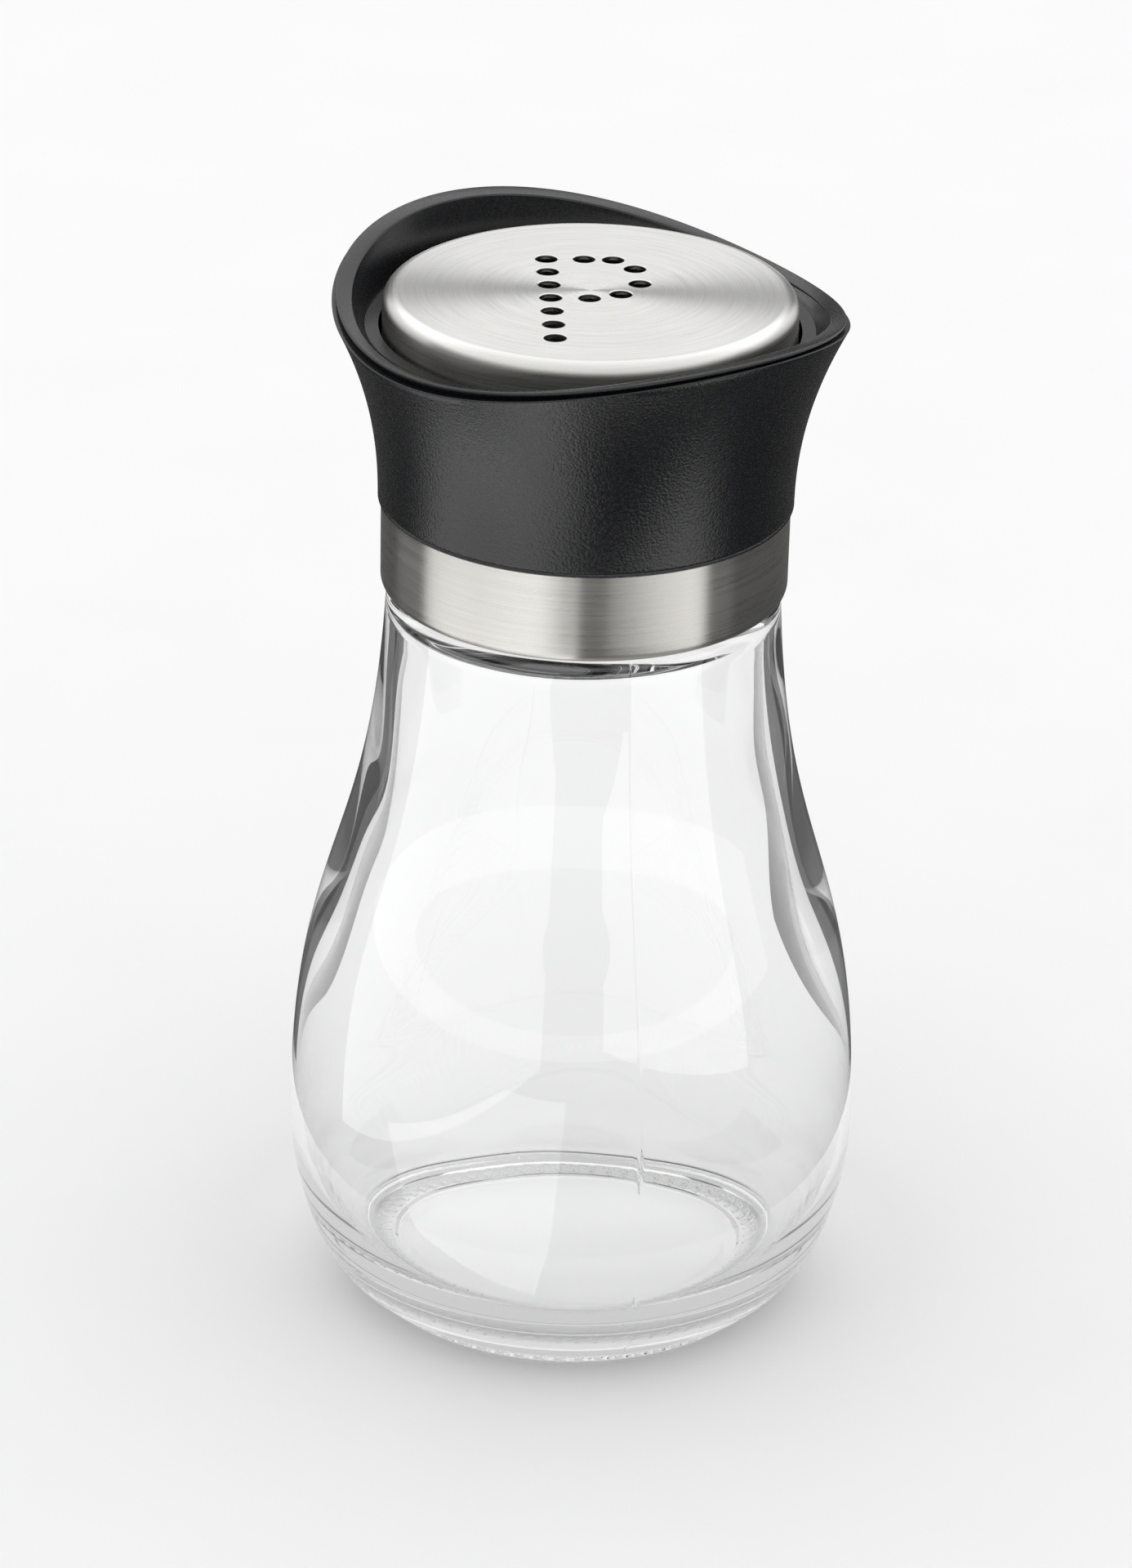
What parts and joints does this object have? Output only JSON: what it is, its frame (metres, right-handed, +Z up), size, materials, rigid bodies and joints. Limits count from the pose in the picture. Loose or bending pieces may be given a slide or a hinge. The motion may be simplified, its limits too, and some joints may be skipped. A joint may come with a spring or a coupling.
{
  "type": "pepper shaker",
  "caption": "Pear-shaped clear glass shaker with a screw-on steel sprinkler cap and a flared black collar with a wavy lip, for sprinkling ground pepper at the table.",
  "frame": {"origin": "middle of the jar's foot, on the surface it stands on", "axes": "+Z up along the jar's axis; -Y is the side that faces the picture's viewer, from where the holes read upright"},
  "size_m": [0.0642, 0.0642, 0.1215],
  "materials": {
    "glass": "clear, smooth",
    "steel": "brushed round the cap, turned on its top",
    "collar": "fine matte grain",
    "liner": "plain, dark as the collar",
    "seal": "soft, matte"
  },
  "bodies": {
    "jar": {"glass_jar": "glass"},
    "seal": {"seal_ring": "seal"},
    "cap": {"steel_cap": "steel", "threaded_liner": "liner", "collar": "collar"}
  },
  "joints": [
    {"name": "cap_climb", "type": "slide", "parent": "jar", "child": "seal", "axis": [0, 0, 1], "range_m": [0, 0.0056]},
    {"name": "cap_unscrew", "type": "hinge", "parent": "seal", "child": "cap", "pos_m": [0, 0, 0.08535], "axis": [0, 0, 1], "range_deg": [0, 470]}
  ],
  "couplings": [
    {"joint": "cap_climb", "follows": "cap_unscrew", "m_per_rad": 0.0006737}
  ]
}
